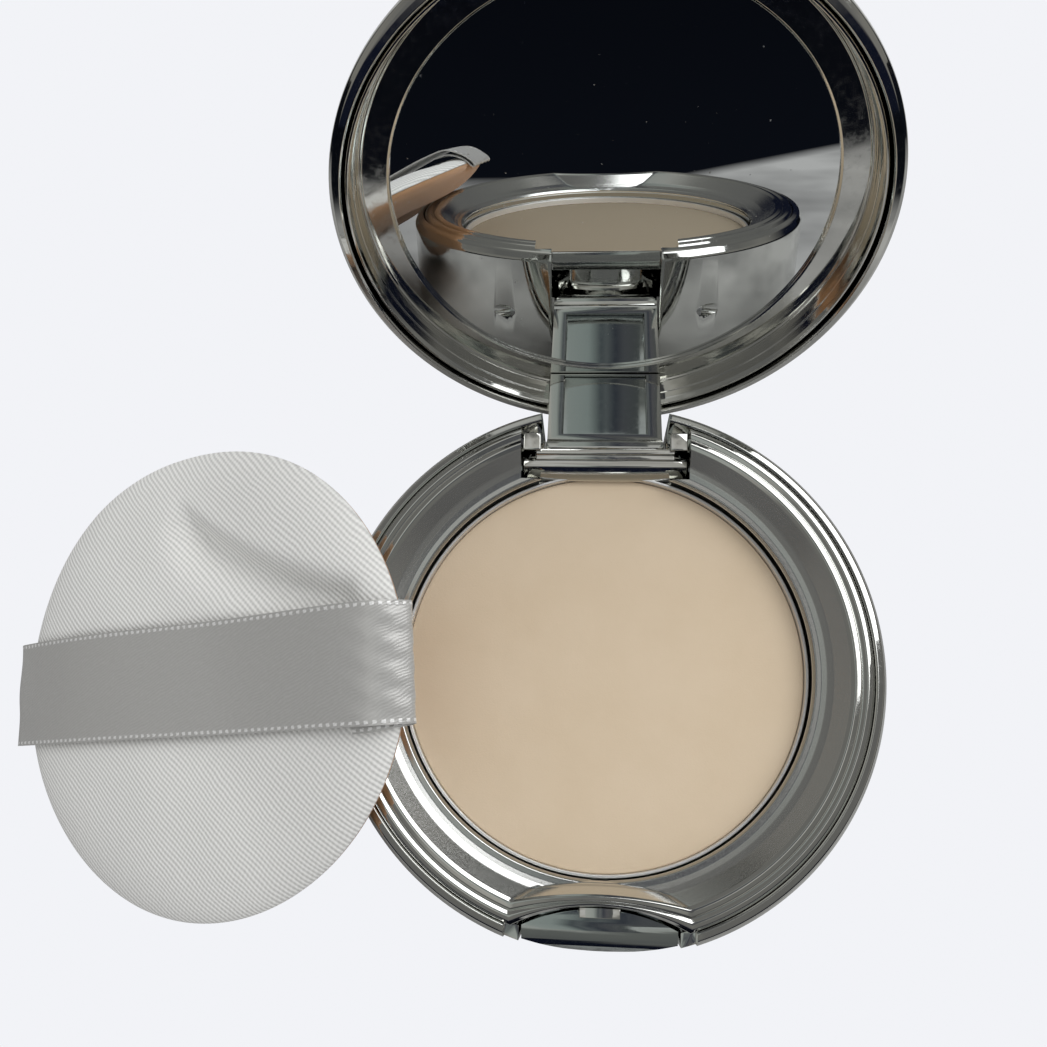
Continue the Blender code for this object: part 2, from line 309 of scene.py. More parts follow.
def noise(tree, scale, detail=4, coords=None, rough=0.5):
    node = tree.nodes.new("ShaderNodeTexNoise")
    node.inputs["Scale"].default_value = scale
    node.inputs["Detail"].default_value = detail
    node.inputs["Roughness"].default_value = rough
    if coords is None:
        coords = tree.nodes.new("ShaderNodeTexCoord").outputs["Object"]
    link(tree, coords, node.inputs["Vector"])
    return node.outputs["Fac"]


def ramp(tree, value, stops):
    node = tree.nodes.new("ShaderNodeValToRGB")
    elements = node.color_ramp.elements
    while len(elements) < len(stops):
        elements.new(0.5)
    for element, (position, colour) in zip(elements, stops):
        element.position = position
        element.color = (*colour, 1) if len(colour) == 3 else colour
    link(tree, value, node.inputs["Fac"])
    return node.outputs["Color"]


def spread(tree, value, low, high, out_low, out_high):
    """Map a value from one range to another, clamped."""
    node = tree.nodes.new("ShaderNodeMapRange")
    for name, number in (("From Min", low), ("From Max", high), ("To Min", out_low), ("To Max", out_high)):
        node.inputs[name].default_value = number
    link(tree, value, node.inputs["Value"])
    return node.outputs["Result"]


def blend_colours(tree, factor, first, second):
    """The first colour, a node's output, turning to the fixed second one as factor goes from 0 to 1."""
    mix = tree.nodes.new("ShaderNodeMix")
    mix.data_type = "RGBA"
    link(tree, factor, mix.inputs["Factor"])
    link(tree, first, mix.inputs["A"])
    mix.inputs["B"].default_value = (*second, 1)
    return mix.outputs["Result"]


def bump(tree, height, strength, distance, normal=None):
    node = tree.nodes.new("ShaderNodeBump")
    node.inputs["Strength"].default_value = strength
    node.inputs["Distance"].default_value = distance
    link(tree, height, node.inputs["Height"])
    if normal is not None:
        link(tree, normal, node.inputs["Normal"])
    return node.outputs["Normal"]


def chrome(name, colour, roughness):
    """Vacuum-metallised plastic: near mirror, with faint waviness and fine handling marks."""
    material, tree, shader = new_material(name)
    shader.inputs["Base Color"].default_value = (*colour, 1)
    shader.inputs["Metallic"].default_value = 1
    marks = noise(tree, 900, 6, rough=0.65)
    link(tree, spread(tree, marks, 0.45, 0.8, roughness, roughness + 0.12), shader.inputs["Roughness"])
    slow = noise(tree, 60, 2)
    link(tree, bump(tree, slow, 0.25, 0.0002), shader.inputs["Normal"])
    return material


def satin_metal(name, colour, roughness):
    """Fine blasted finish on metallised plastic."""
    material, tree, shader = new_material(name)
    shader.inputs["Base Color"].default_value = (*colour, 1)
    shader.inputs["Metallic"].default_value = 1
    grain = noise(tree, 5200, 3)
    link(tree, spread(tree, grain, 0.3, 0.7, roughness - 0.05, roughness + 0.07), shader.inputs["Roughness"])
    link(tree, bump(tree, grain, 0.05, 0.00003), shader.inputs["Normal"])
    return material


def mirror_material():
    material, tree, shader = new_material("mirror")
    shader.inputs["Base Color"].default_value = (0.86, 0.88, 0.88, 1)
    shader.inputs["Metallic"].default_value = 1
    dust = noise(tree, 1500, 2, rough=0.3)
    link(tree, spread(tree, dust, 0.76, 0.82, 0.004, 0.35), shader.inputs["Roughness"])
    return material


def powder_material():
    """Pressed powder: fine matt grain, slow tone changes, a few faint rubs and painted shade where it is seen
    at a grazing angle.
    """
    material, tree, shader = new_material("pressed_powder")
    tone = noise(tree, 70, 5, rough=0.6)
    base = ramp(tree, tone, [(0.3, (0.68, 0.545, 0.385)), (0.5, (0.70, 0.565, 0.405)),
                             (0.72, (0.72, 0.585, 0.425))])
    # Painted shade: the colour turns dark brown where the powder is seen at a grazing angle.
    graze = tree.nodes.new("ShaderNodeLayerWeight")
    graze.inputs["Blend"].default_value = 0.5
    steep = spread(tree, graze.outputs["Facing"], 0.45, 0.85, 0, 1)
    link(tree, blend_colours(tree, steep, base, (0.25, 0.21, 0.15)), shader.inputs["Base Color"])
    shader.inputs["Roughness"].default_value = 0.9
    shader.inputs["Specular IOR Level"].default_value = 0.2
    grain = noise(tree, 4200, 6, rough=0.7)
    broad = noise(tree, 260, 4)
    fine = bump(tree, grain, 0.35, 0.00008)
    link(tree, bump(tree, broad, 0.18, 0.0003, fine), shader.inputs["Normal"])
    return material


def uv_axes(tree):
    uv = tree.nodes.new("ShaderNodeUVMap")
    uv.uv_map = "flat"
    split = tree.nodes.new("ShaderNodeSeparateXYZ")
    link(tree, uv.outputs["UV"], split.inputs["Vector"])
    return uv.outputs["UV"], split.outputs["X"], split.outputs["Y"]


def calc(tree, operation, a, b=None):
    node = tree.nodes.new("ShaderNodeMath")
    node.operation = operation
    for socket, value in zip(node.inputs, (a, b)):
        if value is None:
            continue
        if isinstance(value, (int, float)):
            socket.default_value = value
        else:
            link(tree, value, socket)
    return node.outputs["Value"]


def wave(tree, value, per_mm):
    """Sine of a millimetre value, from 0 to 1, with per_mm ridges a millimetre."""
    sine = calc(tree, "SINE", calc(tree, "MULTIPLY", value, per_mm * 2 * pi))
    return calc(tree, "ADD", calc(tree, "MULTIPLY", sine, 0.5), 0.5)


def weave_material(name, dark, light, slant, per_mm, roughness, sheen):
    """Twill: slanted ribs crossed by finer threads. The UVs are flat millimetres."""
    material, tree, shader = new_material(name)
    uv, u, v = uv_axes(tree)
    across = calc(tree, "ADD", calc(tree, "MULTIPLY", u, cos(slant)), calc(tree, "MULTIPLY", v, sin(slant)))
    along = calc(tree, "SUBTRACT", calc(tree, "MULTIPLY", v, cos(slant + 0.3)),
                 calc(tree, "MULTIPLY", u, sin(slant + 0.3)))
    bent = calc(tree, "ADD", across, calc(tree, "MULTIPLY", noise(tree, 0.12, 2, uv), 1.2))
    rib = wave(tree, bent, per_mm)
    thread = wave(tree, along, per_mm * 1.08)
    height = calc(tree, "ADD", calc(tree, "MULTIPLY", rib, 0.8), calc(tree, "MULTIPLY", thread, 0.2))
    fuzz = noise(tree, 3.5, 4, uv, 0.7)
    tone = calc(tree, "ADD", calc(tree, "MULTIPLY", height, 0.8), calc(tree, "MULTIPLY", fuzz, 0.4))
    link(tree, ramp(tree, tone, [(0.2, dark), (0.95, light)]), shader.inputs["Base Color"])
    shader.inputs["Roughness"].default_value = roughness
    shader.inputs["Specular IOR Level"].default_value = 0.25
    shader.inputs["Sheen Weight"].default_value = sheen
    link(tree, bump(tree, height, 0.6, 0.00012), shader.inputs["Normal"])
    return material


def velour_material():
    """Short-pile underside, rubbed with powder and paler in the middle."""
    material, tree, shader = new_material("velour")
    uv, u, v = uv_axes(tree)
    radius = calc(tree, "SQRT", calc(tree, "ADD", calc(tree, "MULTIPLY", u, u), calc(tree, "MULTIPLY", v, v)))
    blotch = noise(tree, 0.09, 4, uv, 0.6)
    edge = calc(tree, "ADD", radius, calc(tree, "MULTIPLY", blotch, 22))
    mix = spread(tree, edge, 18, 27, 0, 1)
    tone = ramp(tree, mix, [(0.0, (0.66, 0.56, 0.45)), (0.45, (0.62, 0.37, 0.2)), (1.0, (0.62, 0.34, 0.17))])
    link(tree, tone, shader.inputs["Base Color"])
    shader.inputs["Roughness"].default_value = 0.95
    shader.inputs["Sheen Weight"].default_value = 0.4
    pile = noise(tree, 9, 6, uv, 0.75)
    link(tree, bump(tree, pile, 0.6, 0.00025), shader.inputs["Normal"])
    return material


def ribbon_material():
    """Satin ribbon: fine slanted floats and a line of pale edge stitches."""
    material, tree, shader = new_material("satin_ribbon")
    uv, u, v = uv_axes(tree)
    edge = calc(tree, "ABSOLUTE", v)
    slanted = calc(tree, "ADD", calc(tree, "MULTIPLY", u, 0.42), calc(tree, "MULTIPLY", v, 0.9))
    bent = calc(tree, "ADD", slanted, calc(tree, "MULTIPLY", noise(tree, 0.35, 3, uv), 1.1))
    floats = wave(tree, bent, 2.4)
    slubs = noise(tree, 1.6, 5, uv, 0.7)
    loops = calc(tree, "ADD", wave(tree, u, 0.95), calc(tree, "MULTIPLY", slubs, 0.9))
    knots = spread(tree, loops, 0.75, 1.15, 0, 1)
    inner = spread(tree, edge, RIBBON_HALF - 0.75, RIBBON_HALF - 0.55, 0, 1)
    outer = spread(tree, edge, RIBBON_HALF - 0.3, RIBBON_HALF - 0.15, 1, 0)
    stitch = calc(tree, "MULTIPLY", calc(tree, "MULTIPLY", inner, outer), knots)
    body = calc(tree, "ADD", calc(tree, "MULTIPLY", floats, 0.22), calc(tree, "MULTIPLY", slubs, 0.5))
    tone = calc(tree, "ADD", body, calc(tree, "MULTIPLY", stitch, 0.6))
    shade = ramp(tree, tone, [(0.1, (0.46, 0.45, 0.425)), (0.5, (0.54, 0.53, 0.505)),
                              (0.95, (0.9, 0.89, 0.865))])
    link(tree, shade, shader.inputs["Base Color"])
    shader.inputs["Metallic"].default_value = 0.25
    shader.inputs["Roughness"].default_value = 0.38
    shader.inputs["Specular IOR Level"].default_value = 1.0
    shader.inputs["Sheen Weight"].default_value = 0.15
    relief = calc(tree, "ADD", calc(tree, "MULTIPLY", floats, 0.4), stitch)
    link(tree, bump(tree, relief, 0.4, 0.0001), shader.inputs["Normal"])
    return material


def plain_material(name, colour, metallic, roughness, grain_scale, strength):
    material, tree, shader = new_material(name)
    grain = noise(tree, grain_scale, 4)
    shade = ramp(tree, grain, [(0.3, tuple(c * 0.9 for c in colour)), (0.7, colour)])
    link(tree, shade, shader.inputs["Base Color"])
    shader.inputs["Metallic"].default_value = metallic
    shader.inputs["Roughness"].default_value = roughness
    link(tree, bump(tree, grain, strength, 0.00005), shader.inputs["Normal"])
    return material


SILVER = (0.70, 0.70, 0.67)
CHROME = chrome("chrome", SILVER, 0.05)
DARK_CHROME = chrome("dark_chrome", (0.50, 0.54, 0.53), 0.06)
SATIN = satin_metal("satin_chrome", (0.66, 0.66, 0.64), 0.2)
PAN_METAL = satin_metal("pan_aluminium", (0.95, 0.95, 0.95), 0.5)
MIRROR = mirror_material()
POWDER = powder_material()
FACE_CLOTH = weave_material("puff_twill", (0.62, 0.61, 0.58), (0.94, 0.93, 0.89), radians(30), 1.6, 0.85, 0.2)
VELOUR = velour_material()
RIBBON = ribbon_material()
FOAM = plain_material("foam", (0.85, 0.82, 0.7), 0, 0.9, 2500, 0.5)
STEEL = plain_material("steel", (0.6, 0.6, 0.6), 1, 0.3, 3000, 0.1)
NYLON = plain_material("nylon", (0.75, 0.74, 0.7), 0, 0.5, 2000, 0.1)
PAPER = plain_material("paper", (0.82, 0.82, 0.8), 0, 0.8, 2600, 0.2)
TAPE = plain_material("tape", (0.8, 0.8, 0.74), 0, 0.7, 1800, 0.2)


# ---------------------------------------------------------------- base

def recess_sweep(radius, front):
    """Arc radius of the thumb recess where its wall stands at y = front, and half its width on this ring."""
    bend = 84.6 + front if front > -29.9 else 54.7 - (-29.9 - front) * 24.6
    reach = bend - front
    turn = acos(min(1, (reach ** 2 + radius ** 2 - bend ** 2) / (2 * reach * radius)))
    return bend, min(radius * sin(turn), RECESS_HALF)


def tray_ring(radius, front):
    """Plan of a tray ring: round, with its front drawn in to the thumb recess at y = front."""
    whole = front <= 0.02 - radius
    bend, half = (radius, 1.2) if whole else recess_sweep(radius, front)
    turn = asin(half / radius)
    points = []
    for k in range(RING_STEPS + 1):
        angle = -pi / 2 + turn + (2 * pi - 2 * turn) * k / RING_STEPS
        points.append((radius * cos(angle), radius * sin(angle)))
    for k in range(ARC_STEPS + 1):
        x = half * (2 * k / ARC_STEPS - 1)
        points.append((x, front - bend + sqrt(bend ** 2 - x * x)))
    return points


def make_base_shell():
    z = RIM_Z
    profile = rounded([
        (0, 0.4), (22, 0.4, 0.1), (22, 0, 0.1), (34.3, 0, 1.2), (36.5, 1.4, 1.8), (37.3, 5.0, 5),
        (BODY_R, 10, 5),
        (BODY_R, z - 1.7, 1.4), (36.9, z - 0.45, 0.8), (35.95, z - 0.1, 0.15), (35.75, z - 0.35, 0.1),
        (35.75, 3.6, 1.0), (33.9, 1.8, 0.8), (0, 1.8)])
    shell = turned("base_shell_piece", profile)
    lugs = []
    for side in (-1, 1):
        ends = sorted((side * (NOTCH_HALF - 1), side * LUG_OUTER))
        lugs.append(block("lug", (ends[0], 29.6, 1.2), (ends[1], 34.0, 13.4)))
    spring_stop = block("stop", (-3.2, -24.4, 1.2), (3.2, -23.2, 11.1))
    sill = block("sill", (-NOTCH_HALF - 1.2, 29.6, 1.2), (NOTCH_HALF + 1.2, 34.6, NOTCH_FLOOR_Z))
    add(shell, *lugs, spring_stop, sill)
    notch = block("notch", (-NOTCH_HALF, 29.0, NOTCH_FLOOR_Z), (NOTCH_HALF, 40, 30))
    gap = 0.35
    front = block("front", (-BUTTON_HALF - gap, -40, BUTTON_BOTTOM_Z - gap), (BUTTON_HALF + gap, -33, 30))
    recess = block("recess", (-RECESS_HALF, -40, z - 3.6), (RECESS_HALF, -30, 30))
    bore = rod("bore", PIN_R + 0.04, -20, 20, "X", (HINGE_Y, HINGE_Z))
    cut(shell, notch, front, recess, bore)
    return bevelled(shell, 0.12, 2, 42)


def make_base_tray():
    """Pan well, rounded lip, dished slope and two rounded ridges; corners are (r, z, fillet, front y)."""
    z = RIM_Z
    hole = -PAN_HOLE_R
    profile = rounded([
        (0, WELL_FLOOR_Z, 0, hole), (PAN_HOLE_R, WELL_FLOOR_Z, 0.2, hole), (PAN_HOLE_R, z - 3.3, 0.1, hole),
        (28.05, z - 2.9, 0.3, -28.05), (28.45, z - 2.3, 0.3, -28.35), (29.2, z - 2.25, 0.6, -28.4),
        (29.9, z - 2.0, 1.3, -28.5), (30.6, z - 1.6, 1.6, -28.75), (32.5, z + 0.18, 0.3, -29.55),
        (33.05, z + 0.46, 0.5, -29.85), (33.75, z + 0.3, 0.3, -30.3), (33.95, z, 0.08, -30.45),
        (34.1, z + 0.05, 0.08, -30.5), (34.6, z + 0.3, 0.4, -30.7), (35.2, z + 0.12, 0.5, -30.92),
        (35.65, z - 0.4, 0.1, -31.1), (35.65, z - 6.0, 0.2, -31.1), (35.4, z - 6.0, 0.05, -31.05),
        (34.2, z - 6.0, 0.2, -30.65), (34.2, z - 1.6, 0.2, -30.65), (33.1, z - 1.6, 0.2, -30.1),
        (31.0, z - 3.9, 0.3, -29.6), (29.4, z - 3.9, 0.3, -29.4), (29.4, z - 9.8, 0.3, -29.4),
        (0, z - 9.8, 0, -29.4)], steps=5)
    tray = turned("base_tray_piece", profile, tray_ring)
    pocket = block("pocket", (-12.0, 26.6, z - 4.95), (12.0, 40, 30))
    slot = block("slot", (-NOTCH_HALF, 29.9, 0), (NOTCH_HALF, 40, 30))
    room = block("room", (-3.1, -34, z - 6.6), (3.1, -30.2, z - 0.55))
    cut(tray, pocket, slot, room)
    soften(tray, 35)
    mark_satin(tray)
    return tray


def mark_satin(tray):
    """Softer polish on the bead around the pan hole and the slope above it, chrome elsewhere."""
    tray.data.materials.clear()
    tray.data.materials.append(CHROME)
    tray.data.materials.append(SATIN)
    for face in tray.data.polygons:
        x, y, z = (c / MM for c in face.center)
        reach = sqrt(x * x + y * y)
        near_roll = 28.0 < reach < 32.4 and RIM_Z - 3.3 < z < RIM_Z + 0.15
        face.material_index = 1 if near_roll and face.normal.z > 0.2 else 0


def make_hinge_cover():
    """Stepped bridge over the hinge pin, with a cheek on each side of the lid's arm."""
    z = RIM_Z
    sill = prism("hinge_cover_piece", [(26.9, z - 4.65), (27.0, z - 4.3), (28.5, z - 2.5), (29.4, z - 2.5),
                                       (29.4, z - 4.65)], -COVER_HALF, COVER_HALF, "X")
    outline = [(29.0, z - 4.65), (29.0, z - 2.5), (29.4, z - 2.5), (29.4, z - 2.05), (30.1, z - 2.05),
               (30.1, z - 1.6), (30.9, z - 1.6), (30.9, z - 4.65)]
    steps = [prism("step", outline, -9.9, 9.9, "X")]
    for side in (-1, 1):
        ends = sorted((side * (NOTCH_HALF + 0.1), side * COVER_HALF))
        steps.append(block("cheek", (ends[0], 30.5, z - 4.65), (ends[1], 33.1, z - 1.0)))
    add(sill, *steps)
    return bevelled(sill, 0.14, 3)


def make_pan():
    top, low, wall = PAN_TOP_Z + 0.8, PAN_FLOOR_Z, PAN_WALL
    profile = rounded([
        (0, low), (PAN_R, low, 0.6), (PAN_R, top, 0.12), (PAN_R - wall, top, 0.12),
        (PAN_R - wall, low + wall, 0.3), (0, low + wall)])
    return turned("powder_pan_piece", profile)


def make_powder():
    radius, low, top = PAN_R - PAN_WALL - 0.02, PAN_FLOOR_Z + PAN_WALL + 0.05, PAN_TOP_Z - 0.2
    profile = rounded([(0, low), (radius, low, 0.6), (radius, top - 0.05, 0.3), (radius - 0.7, top, 0.3),
                       (0, top)])
    return turned("powder_cake_piece", profile)


# ---------------------------------------------------------------- button and catch

def arc_points(radius, centre_y, sign):
    """Arc across the button's width, on the side of its centre that sign gives."""
    points = []
    for i in range(BUTTON_STEPS):
        x = -BUTTON_HALF + 2 * BUTTON_HALF * i / (BUTTON_STEPS - 1)
        points.append((x, centre_y + sign * sqrt(radius * radius - x * x)))
    return points


def make_push_button():
    """Curved key with a rolled-over top, a retaining flange behind the shell and a stem for the spring."""
    inner = arc_points(BUTTON_BACK_R, BUTTON_BACK_Y - BUTTON_BACK_R, 1)
    outer = arc_points(BUTTON_R, 0, -1)
    key = prism("push_button_piece", inner + outer[::-1], BUTTON_BOTTOM_Z, BUTTON_TOP_Z)
    top = BUTTON_TOP_Z
    fall = [(-30, top + 0.05), (-33, top - 0.05), (-34.5, top - 0.25), (-35.6, top - 0.6), (-36.4, top - 1.1),
            (-36.9, top - 1.8), (-37.15, top - 2.6), (-40, top - 8), (-40, 30), (-30, 30)]
    slope = prism("slope", fall, -14, 14, "X")
    seat_half = CATCH_HALF + 0.1
    seat = block("seat", (-seat_half, -32.0, top - 1.55), (seat_half, -30, 30))
    cut(key, slope, seat)
    flange = block("flange", (-11.5, -33.0, BUTTON_BOTTOM_Z), (11.5, -32.3, RIM_Z - 6.5))
    stem = rod("stem", 1.15, -32.4, -27.4, "Y", (0, 9.3))
    add(key, flange, stem)
    soften(key, 30)
    return bevelled(key, 0.15, 3, 50)


def make_catch():
    """Ledge on the button that the lid's hook snaps under."""
    z = RIM_Z
    outline = [(-32.6, z - 1.7), (-32.6, z - 0.95), (-31.3, z - 0.95), (-31.3, BUTTON_TOP_Z - 1.5),
               (-31.95, BUTTON_TOP_Z - 1.5), (-31.95, z - 1.7)]
    return bevelled(prism("latch_catch_piece", outline, -CATCH_HALF, CATCH_HALF, "X"), 0.1, 2)


# ---------------------------------------------------------------- lid, drawn closed and swung open

def make_lid_shell():
    """Domed cover and, in one piece with it, the arm with its hinge hub."""
    z = RIM_Z
    profile = rounded([
        (0, z + 10.6), (15, z + 10.45, 60), (25, z + 9.95, 40), (31.5, z + 9.1, 12), (35.2, z + 7.5, 5),
        (37.0, z + 4.6, 5), (BODY_R, z + 2.2, 3), (37.45, z + 1.2, 0.6), (36.9, z + 0.5, 0.6),
        (35.95, z + 0.25, 0.15), (35.75, z + 0.5, 0.1), (35.75, z + 5.3, 0.5), (34.6, z + 6.8, 0.5),
        (33.9, z + 7.85, 0.3), (0, z + 7.85)], steps=8)
    shell = turned("lid_shell_piece", profile)
    arm = block("arm", (-ARM_HALF, ARM_FRONT_Y, HINGE_Z), (ARM_HALF, 39, z + 5.2))
    tail = block("tail", (-ARM_HALF, HINGE_Y - 1, HINGE_Z - HUB_R), (ARM_HALF, 39, HINGE_Z + 0.5))
    hub = rod("hub", HUB_R, -ARM_HALF, ARM_HALF, "X", (HINGE_Y, HINGE_Z))
    add(arm, tail, hub)
    trim = turned("trim", [(ARM_BACK_R, 0), (60, 0), (60, 40), (ARM_BACK_R, 40)], closed=True)
    heel = prism("heel", [(38, HINGE_Z - 4), (38, HINGE_Z + 1.5), (33.8, HINGE_Z - 2.7), (33.8, HINGE_Z - 4)],
                 -ARM_HALF - 1, ARM_HALF + 1, "X")
    panel = block("panel", (-PANEL_HALF, 30, HINGE_Z + 3.0), (PANEL_HALF, ARM_FRONT_Y + 0.9, z + 4.9))
    bore = rod("bore", PIN_R + 0.05, -12, 12, "X", (HINGE_Y, HINGE_Z))
    cut(arm, trim, heel, panel, bore)
    bevelled(arm, 0.18, 3, 40)
    add(shell, arm)
    soften(shell, 35)
    return shell


def make_arm_panel():
    half = PANEL_HALF - 0.15
    low = (-half, ARM_FRONT_Y + 0.3, HINGE_Z + 3.15)
    high = (half, ARM_FRONT_Y + 0.88, RIM_Z + 4.75)
    return bevelled(block("arm_panel_piece", low, high), 0.12, 3)


def make_lid_frame():
    """Stepped ring around the mirror, with a gate for the arm."""
    z = RIM_Z
    profile = rounded([
        (30.1, z + 5.55, 0.05), (30.4, z + 5.4, 0.12), (33.75, z + 5.4, 0.12), (33.95, z + 5.15, 0.08),
        (34.15, z + 5.15, 0.08), (34.35, z + 4.2, 0.2), (34.45, z + 3.2, 0.1), (34.6, z + 3.1, 0.06),
        (34.7, z + 1.7, 0.2), (34.9, z + 1.0, 0.15), (35.25, z + 1.0, 0.12), (35.45, z + 1.4, 0.1),
        (35.45, z + 5.2, 0.3), (34.3, z + 6.6, 0.3), (33.6, z + 7.7, 0.2), (31.3, z + 7.7, 0.1),
        (31.3, z + 6.0, 0.05), (30.1, z + 6.0, 0.05)], closed=True, steps=4)
    ring = turned("lid_frame_piece", profile, closed=True)
    gate = block("gate", (-ARM_HALF - 0.25, 30.5, z - 1), (ARM_HALF + 0.25, 40, z + 5.3))
    cut(ring, gate)
    soften(ring, 35)
    return ring


def make_hook():
    """Barbed tongue at the front of the lid."""
    z = RIM_Z
    outline = [(-34.0, z + 4.4), (-34.0, z - 2.75), (-32.8, z - 2.75), (-32.25, z - 2.3), (-32.25, z - 2.0),
               (-33.0, z - 2.0), (-33.0, z + 4.4)]
    return bevelled(prism("latch_hook_piece", outline, -HOOK_HALF, HOOK_HALF, "X"), 0.12, 2)


def make_mirror():
    low, high = MIRROR_Z, MIRROR_Z + MIRROR_THICK
    profile = rounded([(0, low), (MIRROR_R, low, 0.1), (MIRROR_R, high, 0.1), (0, high)])
    return turned("mirror_piece", profile)


# ---------------------------------------------------------------- puff

def lean():
    """Where the puff leans: its own frame, flat with the face up, into the compact's."""
    turn = Matrix.Rotation(radians(PUFF_TURN_DEG), 4, "Z") @ Matrix.Rotation(-radians(PUFF_TILT_DEG), 4, "Y")
    return Matrix.Translation(PUFF_CENTRE) @ turn


def smooth_step(t):
    t = max(0.0, min(1.0, t))
    return t * t * (3 - 2 * t)


def curve_through(points, steps):
    """Catmull-Rom curve through the points, as vectors."""
    fine = []
    for i in range(len(points) - 1):
        p = [Vector(points[max(0, min(len(points) - 1, i + k))]) for k in (-1, 0, 1, 2)]
        for step in range(steps):
            t = step / steps
            square, cube = 2 * p[0] - 5 * p[1] + 4 * p[2] - p[3], 3 * p[1] - p[0] - 3 * p[2] + p[3]
            fine.append(0.5 * ((2 * p[1]) + (p[2] - p[0]) * t + square * t * t + cube * t ** 3))
    fine.append(Vector(points[-1]))
    return fine


CREASE = curve_through([(4.4, 26.0), (6.4, 21.6), (8.9, 17.7), (12.4, 13.7), (17.2, 9.0), (22.0, 5.2),
                        (26.3, 2.3)], 8)


def crease_depth(x, y):
    """Valley pinched into the face: steep on its upper right, easy on its lower left, fading at both ends."""
    if not (-6 < x < 32 and -4 < y < 31):
        return 0.0
    spot = Vector((x, y))
    near = min(range(len(CREASE)), key=lambda i: (CREASE[i] - spot).length_squared)
    along = near / (len(CREASE) - 1)
    run = (CREASE[min(near + 1, len(CREASE) - 1)] - CREASE[max(near - 1, 0)]).normalized()
    off = spot - CREASE[near]
    side = run.x * off.y - run.y * off.x
    away = abs(run.dot(off))
    width = (1.1 + 1.3 * along) if side > 0 else (3.4 + 2.4 * along)
    depth = 3.0 * smooth_step(along / 0.3) * (1 - 0.3 * smooth_step((along - 0.7) / 0.3))
    return depth * exp(-(side / width) ** 2 - (away / 2.5) ** 2)


def under_ribbon(x, y):
    """How far a point is under the ribbon, from 0 outside it to 1 well inside."""
    slant = radians(RIBBON_SLANT_DEG)
    across = abs(y * cos(slant) - x * sin(slant))
    return smooth_step((RIBBON_HALF + 1.2 - across) / 2.4)


def face_height(x, y):
    """Height of the face above the seam: crown, slight billow, crease and the channel under the ribbon."""
    rho = min(1.0, sqrt(x * x + y * y) / PUFF_R)
    crown = PUFF_CROWN * (1 - rho ** 4.2) ** 0.6
    billow = 0.12 * sin(x * 0.31 + 1.0) * cos(y * 0.27) * (1 - rho ** 4)
    return max(0.05, crown + billow - crease_depth(x, y) - 0.45 * under_ribbon(x, y) * (1 - rho ** 8))


def back_height(x, y):
    """Depth of the underside below the seam."""
    rho = min(1.0, sqrt(x * x + y * y) / PUFF_R)
    return 1.12 * PUFF_CROWN * (1 - rho ** 5) ** 0.55


def rest_on_rim(obj):
    """Lay a piece of the puff in place: curled up over the rim, pressed there, sagging to the table."""
    place = lean()
    for vertex in obj.data.vertices:
        local = vertex.co / MM
        x, y, z = place @ local
        curl = smooth_step((local.x - 4) / 30)
        x += 1.3 * curl
        z += 4.2 * curl - 1.3 * smooth_step((-local.x - 8) / 26)
        out = max(0.0, sqrt(x * x + y * y) - 38)
        floor = RIM_Z + 0.7 - 0.09 * out ** 1.9
        z = (z + floor + sqrt((z - floor) ** 2 + 0.36)) / 2
        vertex.co = Vector((x, y, max(z, 0.1))) * MM


def dished_shell(layers, rings, spokes):
    """Closed shell between two dished discs joined at the edge; each layer is (radius, height function)."""
    verts, faces, starts = [], [], []
    for radius, height in layers:
        starts.append(len(verts))
        verts.append((0, 0, height(0, 0)))
        for i in range(1, rings + 1):
            r = radius * (1 - (1 - i / rings) ** 1.5)
            for k in range(spokes):
                a = 2 * pi * k / spokes
                x, y = r * cos(a), r * sin(a)
                verts.append((x, y, height(x, y)))
    for start in starts:
        for k in range(spokes):
            faces.append([start, start + 1 + k, start + 1 + (k + 1) % spokes])
        for i in range(rings - 1):
            for k in range(spokes):
                a = start + 1 + i * spokes + k
                b = start + 1 + i * spokes + (k + 1) % spokes
                faces.append([a, b, b + spokes, a + spokes])
    a, b = (start + 1 + (rings - 1) * spokes for start in starts)
    for k in range(spokes):
        faces.append([a + k, a + (k + 1) % spokes, b + (k + 1) % spokes, b + k])
    return verts, faces


def skin(height, side, inset, least):
    """Height function of a layer inset from the cushion's surface: above the seam for side 1, below for -1."""
    return lambda x, y: side * max(height(x, y) - inset, least)


def make_puff_half(name, height, side):
    """One fabric half of the cushion, the face for side 1 and the underside for -1."""
    layers = [(PUFF_R - inset, skin(height, side, inset, 0.03)) for inset in (0, CLOTH_THICK)]
    verts, faces = dished_shell(layers, 64, 240)
    half = store(name, verts, faces, [(x, y) for x, y, z in verts], 60)
    rest_on_rim(half)
    return half


def make_puff_filling():
    """Foam disc that fills the cushion between its two fabric halves."""
    layers = [(PUFF_R - 1.6, skin(height, side, CLOTH_THICK + 0.15, 0.02))
              for height, side in ((face_height, 1), (back_height, -1))]
    verts, faces = dished_shell(layers, 40, 120)
    disc = store("puff_filling_piece", verts, faces)
    rest_on_rim(disc)
    return disc


